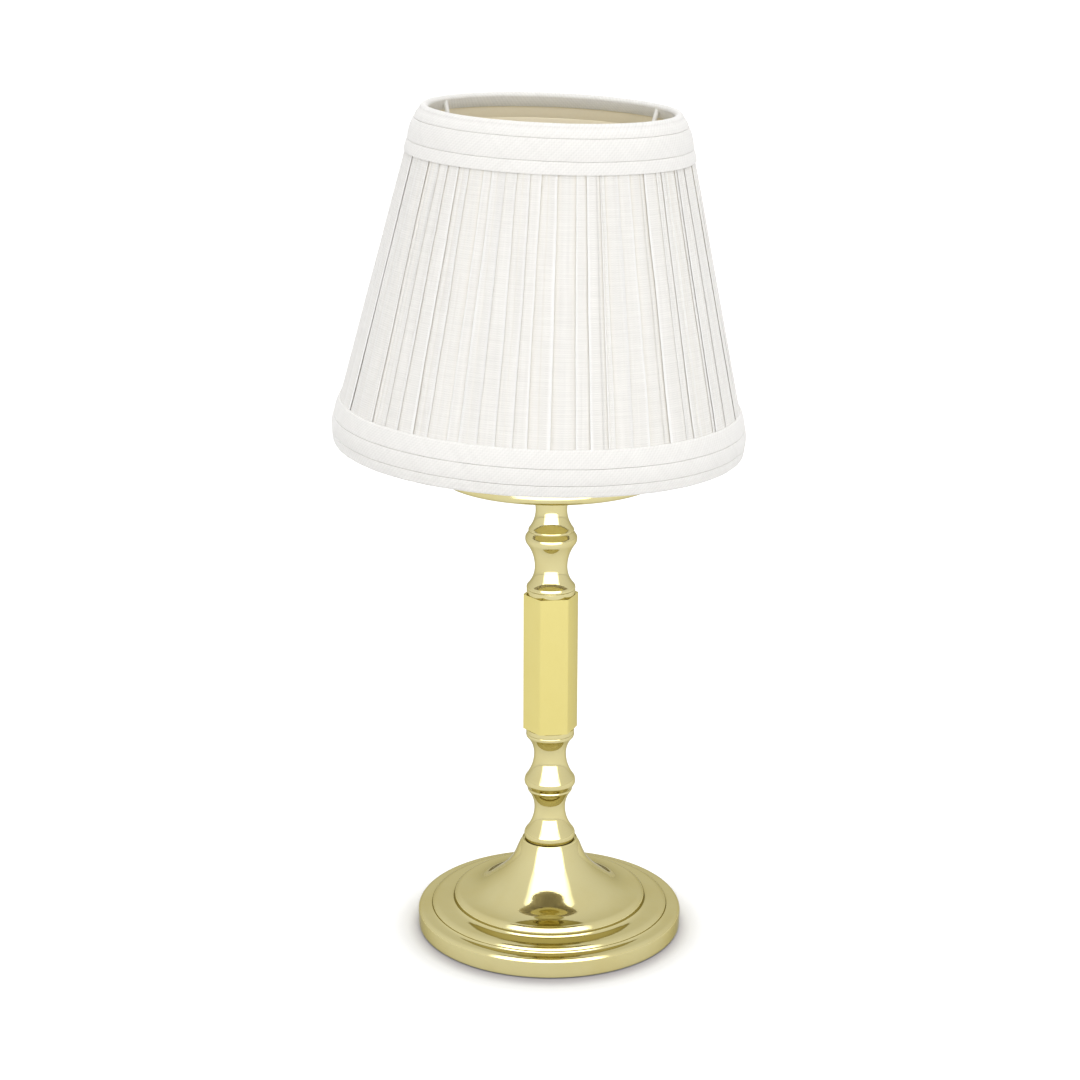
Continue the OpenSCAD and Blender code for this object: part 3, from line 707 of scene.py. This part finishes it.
# A six-sided tube: softened corners, ends inset and sunk to the bore.
def buildSleeve():
    low, high = boxOf("hex_sleeve")
    tall = high.z - low.z
    bpy.ops.object.select_all(action="DESELECT")
    bpy.ops.mesh.primitive_cylinder_add(vertices=6, radius=sleeve["flats"] / 2 / math.cos(math.pi / 6) * mm,
        depth=tall * mm, location=(0, 0, (low.z + tall / 2) * mm),
        rotation=(0, 0, math.radians(sleeve["turn"] + 90)))
    piece = bpy.context.object
    piece.name = piece.data.name = "hexSleeve"
    bpy.ops.object.transform_apply(location=True, rotation=True, scale=True)
    bpy.ops.object.mode_set(mode="EDIT")
    bpy.ops.mesh.select_mode(type="EDGE")
    bpy.ops.mesh.select_all(action="DESELECT")
    bpy.ops.object.mode_set(mode="OBJECT")
    for edge in piece.data.edges:
        a, b = (piece.data.vertices[v].co for v in edge.vertices)
        edge.select = abs(a.z - b.z) > tall * mm / 2
    bpy.ops.object.mode_set(mode="EDIT")
    bpy.ops.mesh.bevel(offset=sleeve["edgeRound"] * mm, segments=4, profile=0.5)
    bpy.ops.mesh.select_all(action="DESELECT")
    bpy.ops.object.mode_set(mode="OBJECT")
    for face in piece.data.polygons:
        face.select = abs(face.normal.z) > 0.9
    bpy.ops.object.mode_set(mode="EDIT")
    bpy.ops.mesh.select_mode(type="FACE")
    bpy.ops.mesh.inset(thickness=sleeve["endRound"] * mm, depth=0)
    bpy.ops.mesh.inset(thickness=sleeve["wall"] * mm, depth=0)
    bpy.ops.mesh.extrude_region_shrink_fatten(TRANSFORM_OT_shrink_fatten={"value": -sleeve["sink"] * mm})
    bpy.ops.object.mode_set(mode="OBJECT")
    bpy.ops.object.shade_smooth_by_angle(angle=math.radians(20))
    settle(piece, "stand", sleeveBrass, "brass", "hex_sleeve")


dish = {"sheet": 1.0, "bend": 2.4, "roll": 1.1, "hole": 2.85,
    "ridge": 34.0, "ridgeWide": 1.5, "ridgeHandle": 1.6 * 1.33}


def buildDish():
    low, high = boxOf("dish")
    floorZ = low.z + dish["sheet"]
    wall = high.x + dish["sheet"] / 2 - dish["roll"]
    bend = (wall - dish["bend"], dish["bend"] - dish["sheet"])
    rollAngle = math.degrees(math.acos(dish["sheet"] / 2 / dish["roll"]))
    rollCentre = (wall - dish["sheet"] / 2, high.z - floorZ - dish["roll"])
    points = [(dish["hole"], -dish["sheet"])]
    points += arc(bend, dish["bend"], -90, 0, 14)
    points += arc(rollCentre, dish["roll"], -rollAngle, 180 + rollAngle, 24)
    points += arc(bend, dish["bend"] - dish["sheet"], 0, -90, 10)
    inner, outer, handle = dish["ridge"], dish["ridge"] + dish["ridgeWide"], dish["ridgeHandle"]
    points += curve((outer, 0), (outer, handle), (inner, handle), (inner, 0), 10)
    points += [(dish["hole"], 0), (dish["hole"], -dish["sheet"])]
    pan = turnPiece("dishPan", [(r, floorZ + z) for r, z in points], 192)
    settle(pan, "stand", brass, "brass", "dish")


chimney = {"wall": 2.4, "lip": 0.8, "ringSheet": 0.8, "ringHole": 29.6, "skirt": 34.45, "ringRound": 0.7}


def buildChimney():
    low, high = boxOf("glass_chimney")
    r, k, t = high.x, chimney["lip"], chimney["wall"]
    points = [(r - t + 0.3, low.z), (r - 0.3, low.z), (r, low.z + 0.3)]
    points += arc((r - k, high.z - k), k, 0, 90, 6)
    points += arc((r - t + k, high.z - k), k, 90, 180, 6)
    points += [(r - t, low.z + 0.3), (r - t + 0.3, low.z)]
    tube = turnPiece("glassTube", points, 128)
    settle(tube, "chimney", clearGlass, "glass", "glass_chimney")

    low, high = boxOf("chimney_ring")
    out, t, k = chimney["skirt"], chimney["ringSheet"], chimney["ringRound"]
    ledge, hole = high.x, chimney["ringHole"] + t / 2
    points = [(out - t, low.z), (ledge - t / 2, low.z)]
    points += arc((ledge - t / 2, low.z + t / 2), t / 2, -90, 90, 8)
    points += curve((out + 0.8, low.z + t), (out + 0.2, low.z + t), (out, low.z + t + 0.2),
        (out, low.z + t + 0.8), 6)
    points += arc((out - k, high.z - k), k, 0, 90, 6)
    points += arc((hole, high.z - t / 2), t / 2, 90, 270, 8)
    points += [(out - t, high.z - t), (out - t, low.z)]
    cap = turnPiece("chimneyCap", points, 160)
    settle(cap, "ring", brass, "brass", "chimney_ring")


shade = {
    "lean": 2.0, "slip": 1.2, "pivot": 275.9,
    "topZ": 293.2, "high": 114.4, "topR": 44.5, "bottomR": 71.65,
    "pleats": 88, "pleatDepth": 0.72, "cloth": 0.6, "linerGap": 0.2, "liner": 0.6,
    "linerLow": 4.0, "linerHigh": 3.4, "linerCrease": 9.0,
    "topTrim": 15.3, "bottomTrim": 15.3, "tuck": 2.4, "trim": 0.45,
    "wire": 1.8, "topWireIn": 2.3, "bottomWireIn": 2.8,
    "topSeams": (4.4, 11.3), "bottomSeams": (4.1, 9.5), "fold": 5.0,
}
pleatLook = {
    "seed": 7, "rows": 40, "widthSpread": 0.62, "depthSpread": 0.55, "wander": 0.5, "puff": 0.22,
    "drift": 0.3,               # how much a valley's depth changes on its way up
    "crease": 0.6,              # a fine crease along each pleat, this deep at most
    "creaseSide": 0.22,         # and this far off its middle
    "hemHidden": 1.15,          # mm of cloth behind each fold at the bottom edge
    "tuckShare": 0.45,          # the most of a pleat's width that goes under its neighbour
    # from the valley up to the pleat's face: share of its width, share of the valley's depth
    "overEdge": [(0.025, 0.26), (0.0, 0.12), (0.05, 0.02), (0.2, 0.0)],
    "underEdge": [(0.03, 0.66), (0.08, 0.48), (0.15, 0.33), (0.3, 0.12)],
    # painted shade: how dark the cloth turns in a valley, more so higher up and most under the tape; painted
    # highlight: how light it turns on a lip
    "valleyShade": 0.68, "upperShade": 0.55, "tapeShadow": 0.8, "lipHighlightAmount": 0.8,
}


def leanMatrix():
    turn = Matrix.Rotation(math.radians(shade["lean"]), 4, "Y")
    pivot = Vector((0, 0, shade["pivot"] * mm))
    slipped = pivot + Vector((-shade["slip"] * mm, 0, 0))
    return Matrix.Translation(slipped) @ turn @ Matrix.Translation(-pivot)


# Tilts an upright shade piece as it sits on its hub.
def leanOver(piece):
    bpy.ops.object.select_all(action="DESELECT")
    piece.select_set(True)
    bpy.context.view_layer.objects.active = piece
    piece.matrix_world = leanMatrix()
    bpy.ops.object.transform_apply(location=True, rotation=True, scale=True)


def coneR(z):
    return shade["topR"] + (shade["topZ"] - z) * (shade["bottomR"] - shade["topR"]) / shade["high"]


def linerR(z):
    return coneR(z) - shade["pleatDepth"] - shade["cloth"] - shade["linerGap"]


def onCone(z, out):
    return (coneR(z) + out, z)


# How far a fold strays sideways at this height, in mm.
def pleatWander(pleat, up):
    return pleatLook["wander"] * (noise.noise(Vector((pleat * 5.3, up * 1.6, 9.0)))
        + 0.4 * noise.noise(Vector((pleat * 2.1, up * 5.0, 3.0))))


# A pleat has twelve columns of cloth: its valley, four up one edge, three at a fine crease and four down
# the other edge. Returns the share of the pleat's width, the share of the valley's depth, and 1 on a lip,
# which gets a painted highlight.
def foldAt(part, lay, nextLay, crease, lean):
    over, under = pleatLook["overEdge"], pleatLook["underEdge"]
    if part == 0:
        return 0.0, 1.0, 0.0
    if part < 5:
        share, deep = (under if lay > 0 else over)[part - 1]
        return share, deep, 1.0 if lay < 0 and part in (2, 3) else 0.0
    if part < 8:
        return lean + 0.07 * (part - 6), crease * (1.0 if part == 6 else 0.3), 0.0
    share, deep = (over if nextLay > 0 else under)[11 - part]
    return 1 - share, deep, 1.0 if nextLay > 0 and part in (9, 10) else 0.0


# A flat strip of cloth, folded into knife pleats and wrapped round the cone.
def buildPleats():
    rng = random.Random(pleatLook["seed"])
    count, rows = shade["pleats"], pleatLook["rows"]
    low = shade["topZ"] - shade["high"] + shade["bottomTrim"] - shade["tuck"]
    high = shade["topZ"] - shade["topTrim"] + shade["tuck"]
    widths = [1 + pleatLook["widthSpread"] * rng.uniform(-1, 1) for _ in range(count)]
    lays = [rng.choice((-1, 1)) for _ in range(count)]
    creases = [pleatLook["crease"] * rng.random() for _ in range(count)]
    leans = [0.5 + pleatLook["creaseSide"] * rng.uniform(-1, 1) for _ in range(count)]
    scale = 2 * math.pi / sum(widths)
    starts = [0.0]
    for w in widths:
        starts.append(starts[-1] + w * scale)
    depths = [shade["pleatDepth"] * (1 - pleatLook["depthSpread"] * rng.random()) for _ in range(count)]
    parts = 12
    across = parts * count
    bpy.ops.object.select_all(action="DESELECT")
    bpy.ops.mesh.primitive_grid_add(x_subdivisions=across, y_subdivisions=rows, size=1, calc_uvs=True)
    cover = bpy.context.object
    cover.name = cover.data.name = "pleatedCover"
    cover.data.uv_layers[0].name = "flatCloth"
    girth = 2 * math.pi * coneR(low) + 2 * count * pleatLook["hemHidden"]
    for loop in cover.data.uv_layers[0].data:
        loop.uv = (loop.uv[0] * girth * mm, loop.uv[1] * (high - low) * mm)
    foldPaint = cover.data.attributes.new("foldShadeAndHighlight", "FLOAT", "POINT")
    for index, vertex in enumerate(cover.data.vertices):
        up = min(max(vertex.co.y + 0.5, 0.0), 1.0)
        step = int(round((vertex.co.x + 0.5) * across))
        pleat, part = divmod(step, parts)
        pleat, turnOn = pleat % count, pleat // count
        following = (pleat + 1) % count
        z = low + up * (high - low)
        r = coneR(z)
        a0 = starts[pleat] + pleatWander(pleat, up) / r
        a1 = starts[pleat + 1] + pleatWander(following, up) / r
        share, deep, lip = foldAt(part, lays[pleat], lays[following], creases[pleat], leans[pleat])
        tuck = 0.0
        if part == 0:
            spare = (girth - 2 * math.pi * r) / 2 / count
            tuck = lays[pleat] * min(spare, pleatLook["tuckShare"] * (a1 - a0) * r)
        valley = pleat if part < 7 else following
        drift = pleatLook["drift"] * noise.noise(Vector((valley * 3.7, up * 2.5, 1.0)))
        depth = depths[valley] * (0.85 + drift)
        angle = a0 + (a1 - a0) * share - tuck / r + turnOn * 2 * math.pi
        puff = noise.noise(Vector((pleat * 1.9, up * 3.1, 5.0))) * pleatLook["puff"] * math.sin(math.pi * share)
        radius = r - depth * deep + puff
        vertex.co = Vector((radius * math.cos(angle), radius * math.sin(angle), z)) * mm
        # painted shade in the valley, stronger higher up and under the tape, less a painted highlight on the
        # lips
        strength = depth / shade["pleatDepth"]
        tone = pleatLook["valleyShade"] + pleatLook["upperShade"] * up ** 3 + pleatLook["tapeShadow"] * up ** 30
        shadow = max(0.0, deep - 0.08) * strength * tone
        foldPaint.data[index].value = min(1.0, shadow) - lip * strength * pleatLook["lipHighlightAmount"]
    bpy.ops.object.mode_set(mode="EDIT")
    bpy.ops.mesh.select_all(action="SELECT")
    bpy.ops.mesh.remove_doubles(threshold=2e-6)
    bpy.ops.mesh.normals_make_consistent(inside=False)
    bpy.ops.object.mode_set(mode="OBJECT")
    bpy.ops.object.shade_smooth_by_angle(angle=math.radians(70))
    leanOver(cover)
    settle(cover, "shade", pleatCloth, "linen", "pleated_cover")
    return cover, girth, high - low


# Lets a sewn edge rise and fall a little along its length.
def ruffle(piece, amount, pitch):
    for vertex in piece.data.vertices:
        outward = Vector((vertex.co.x, vertex.co.y, 0)).normalized()
        angle = math.atan2(vertex.co.y, vertex.co.x)
        around = Vector((math.cos(angle) * pitch, math.sin(angle) * pitch, vertex.co.z * 90))
        vertex.co += outward * noise.noise(around) * amount * mm
        vertex.co.z += noise.noise(around + Vector((7, 3, 1))) * amount * 0.5 * mm


def buildBindings():
    s = shade
    t, roll = s["trim"], s["wire"] / 2 + 0.05 + s["trim"]
    wire = (s["topR"] - s["topWireIn"], s["topZ"] - roll)
    low = s["topZ"] - s["topTrim"]
    seams = [s["topZ"] - v for v in s["topSeams"]]
    foldZ = s["topZ"] - s["fold"]
    inner = linerR(foldZ) - s["liner"] - 0.1
    points = [(coneR(low) + 0.05, low + 0.1)]
    points += swell(onCone(low, t), onCone(seams[1] - 0.12, t - 0.15), 0.15, 8)
    points += [onCone(seams[1], t - 0.5)]
    points += swell(onCone(seams[1] + 0.12, t - 0.1), onCone(seams[0] - 0.12, t - 0.4), 0.35, 12)
    points += [onCone(seams[0], -0.5)]
    points += swell(onCone(seams[0] + 0.12, t - 0.6), (wire[0] + roll, wire[1]), 0.3, 8)
    points += arc(wire, roll, 10, 180, 14)
    points += [(inner - t, foldZ + 0.1), (inner - t + 0.1, foldZ), (inner, foldZ)]
    points += [(inner, wire[1] - 1), (linerR(low) + 0.1, low + s["tuck"]), points[0]]
    tape = turnPiece("topBinding", points, 240, 50)
    ruffle(tape, 0.12, 9)
    leanOver(tape)
    settle(tape, "shade", topTape, "linen", "top_trim")

    floorZ = s["topZ"] - s["high"]
    wire = (s["bottomR"] - s["bottomWireIn"], floorZ + roll)
    high = floorZ + s["bottomTrim"]
    seams = [floorZ + v for v in s["bottomSeams"]]
    foldZ = floorZ + s["fold"]
    inner = linerR(foldZ) - s["liner"] - 0.1
    points = [(inner, foldZ), (inner - t, foldZ)]
    points += arc(wire, roll, -180, 0, 18)
    points += swell((wire[0] + roll, wire[1] + 0.3), onCone(seams[0] - 0.12, -0.2), 0.12, 6)
    points += [onCone(seams[0], -0.55)]
    points += swell(onCone(seams[0] + 0.12, -0.1), onCone(seams[1] - 0.12, t + 0.35), 0.35, 12)
    points += [onCone(seams[1], t - 0.1)]
    points += swell(onCone(seams[1] + 0.12, t + 0.35), onCone(high - 0.15, t + 0.05), 0.2, 8)
    points += [onCone(high, t - 0.15), onCone(high, -0.3), onCone(high - s["tuck"], 0.05), (inner, foldZ)]
    hem = turnPiece("bottomBinding", points, 300, 50)
    ruffle(hem, 0.15, 11)
    leanOver(hem)
    settle(hem, "shade", bottomTape, "linen", "bottom_trim")
    return tape, hem


def buildLiner():
    s = shade
    bottom = s["topZ"] - s["high"] + s["linerLow"]
    top = s["topZ"] - s["linerHigh"]
    crease = s["topZ"] - s["linerCrease"]
    t = s["liner"]
    heights = [bottom + (top - bottom) * i / 12 for i in range(13)]
    outer = [(linerR(z), z) for z in heights]
    innerSide = [(linerR(bottom) - t, bottom), (linerR(crease - 0.5) - t, crease - 0.5),
        (linerR(crease) - t + 0.25, crease), (linerR(crease + 0.5) - t, crease + 0.5), (linerR(top) - t, top)]
    points = outer + back(innerSide) + [outer[0]]
    cone = turnPiece("shadeLiner", points, 200, 30)
    leanOver(cone)
    settle(cone, "shade", linerCard, "liner_card", "shade_liner")


candle = {
    "wall": 1.0, "punt": 20.0, "puntHigh": 3.4, "round": 1.6, "high": 46.0, "slope": 6.0, "neck": 12.0,
    "capWall": 1.1, "capRound": 0.9, "capHole": 3.05,
    "tube": 3.0, "tubeBore": 1.45, "wick": 1.4, "braid": 8.4, "ridges": 18,
}


# The bottle's outline, or with a wall of t its inside.
def bottleWall(t, r, top):
    c = candle
    k = c["round"]
    neck = c["neck"] - t
    return ([(0, c["puntHigh"] + t), (c["punt"] - c["puntHigh"], c["puntHigh"] + t), (c["punt"] + t * 0.4, t)]
        + arc((r - k, k), k - t, -90, 0, 6)
        + curve((r - t, c["high"]), (r - t, c["high"] + c["slope"] * 0.7),
            (neck, c["high"] + c["slope"] * 0.3), (neck, c["high"] + c["slope"]), 14)
        + [(neck, top)])


def buildCandle():
    c = candle
    low, high = boxOf("fuel_bottle")
    base, r, top = low.z, high.x, high.z - low.z
    points = bottleWall(0, r, top) + back(bottleWall(c["wall"], r, top))
    bottle = turnPiece("fuelBottle", [(x, base + z) for x, z in points], 128)
    settle(bottle, "candle", clearPlastic, "clear_plastic", "fuel_bottle")

    low, high = boxOf("bottle_cap")
    out, tall = high.x, high.z - low.z
    hole, neck, k, under = c["capHole"], c["neck"] + 0.05, c["capRound"], tall - c["capWall"]
    points = [(neck, 0), (out, 0)]
    points += arc((out - k, tall - k), k, 0, 90, 8)
    points += [(hole, tall), (hole, under), (neck, under), (neck, 0)]
    cap = turnPiece("bottleCap", [(x, low.z + z) for x, z in points], 144)
    settle(cap, "candle", blackCap, "cap_plastic", "bottle_cap")

    low, high = boxOf("wick_tube")
    cup, r, bore = high.x, c["tube"], c["tubeBore"]
    flangeZ = boxOf("bottle_cap")[1].z
    points = [(bore, low.z), (r, low.z), (r, flangeZ), (cup, flangeZ)]
    points += arc((cup - 0.4, flangeZ + 0.6), 0.4, 0, 90, 5)
    points += curve((r + 0.9, flangeZ + 1), (r + 0.3, flangeZ + 1), (r, flangeZ + 1.4), (r, flangeZ + 2), 5)
    points += arc((r - 0.4, high.z - 0.4), 0.4, 0, 90, 5) + [(bore, high.z), (bore, low.z)]
    tube = turnPiece("wickTube", points, 64)
    settle(tube, "candle", brass, "brass", "wick_tube")

    low, high = boxOf("wick")
    r, ridge = c["wick"], c["braid"] / c["ridges"]
    points = [(0, low.z), (r, low.z)]
    for i in range(c["ridges"]):
        z = high.z - c["braid"] - 0.6 + ridge * i
        points += [(r, z), (r - 0.08, z + ridge / 2)]
    points += [(r - 0.1, high.z - 0.5), (r - 0.4, high.z - 0.1), (0, high.z)]
    braid = turnPiece("wickBraid", points, 24)
    settle(braid, "candle", wickCotton, "wick_cotton", "wick")


# These CAD pieces keep their shape and only get a finish.
def dressCadNodes():
    finishes = {
        "base_weight": rawIron, "felt_pad": greenFelt, "foot_washer": platedSteel, "foot_nut": platedSteel,
        "tie_rod": platedSteel, "dish_washer": platedSteel, "dish_screw": platedSteel,
        "shade_hub": whitePaint, "shade_arms": whitePaint, "shade_top_ring": whitePaint,
        "shade_bottom_ring": whitePaint, "liquid_fuel": lampOil,
    }
    for node, material in finishes.items():
        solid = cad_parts[node]
        solid.data.materials.clear()
        solid.data.materials.append(material)
        for polygon in solid.data.polygons:
            polygon.material_index = 0
    print("dressed", len(finishes), "CAD nodes")


bpy.context.scene.view_settings.view_transform = "Standard"
polishGroup = makePolishLines()
weaveGroup = makeWeave()
brass = makeBrass()
sleeveBrass = makeBrass("sleeveBrass", colour=(0.92, 0.80, 0.29), shade=(0.90, 0.775, 0.27),
    lines=260.0, lacquer=0.4)
# painted shade for the grooves under the balusters
grooveShade = makeSpeckled("grooveShade", (0.10, 0.075, 0.03), (0.04, 0.03, 0.012), 900.0, 0.6, 0.3)
pleatCloth = makePleatCloth()
topTape = makeBiasTape("topBiasTape", shade["topR"])
bottomTape = makeBiasTape("bottomBiasTape", shade["bottomR"])
linerCard = makeLinerCard()
clearGlass = makeClear("clearGlass", (0.96, 0.98, 0.98), 0.0, 1.5)
clearPlastic = makeClear("clearPlastic", (0.93, 0.96, 0.97), 0.03, 1.46)
lampOil = makeClear("lampOil", (0.97, 0.94, 0.80), 0.0, 1.43)
platedSteel = makeSpeckled("platedSteel", (0.62, 0.63, 0.65), (0.5, 0.51, 0.53), 500.0, 0.28, 1.0)
rawIron = makeSpeckled("rawIron", (0.10, 0.10, 0.105), (0.05, 0.05, 0.052), 300.0, 0.6, 0.6, 0.5)
greenFelt = makeSpeckled("greenFelt", (0.10, 0.18, 0.13), (0.05, 0.10, 0.07), 1500.0, 0.95, 0.0, 0.9)
whitePaint = makeSpeckled("whitePaint", (0.90, 0.89, 0.86), (0.84, 0.83, 0.80), 400.0, 0.35)
blackCap = makeSpeckled("blackCap", (0.06, 0.065, 0.075), (0.03, 0.032, 0.036), 900.0, 0.35)
wickCotton = makeSpeckled("wickCotton", (0.90, 0.88, 0.82), (0.70, 0.67, 0.60), 3000.0, 0.9, 0.0, 0.8)

placeCamera()
lightStudio()
layFloor()
print("studio set")
buildFoot()
buildColumn()
buildSleeve()
buildDish()
buildChimney()
pleats, clothWide, clothTall = buildPleats()
topBinding, bottomBinding = buildBindings()
buildLiner()
buildCandle()
dressCadNodes()
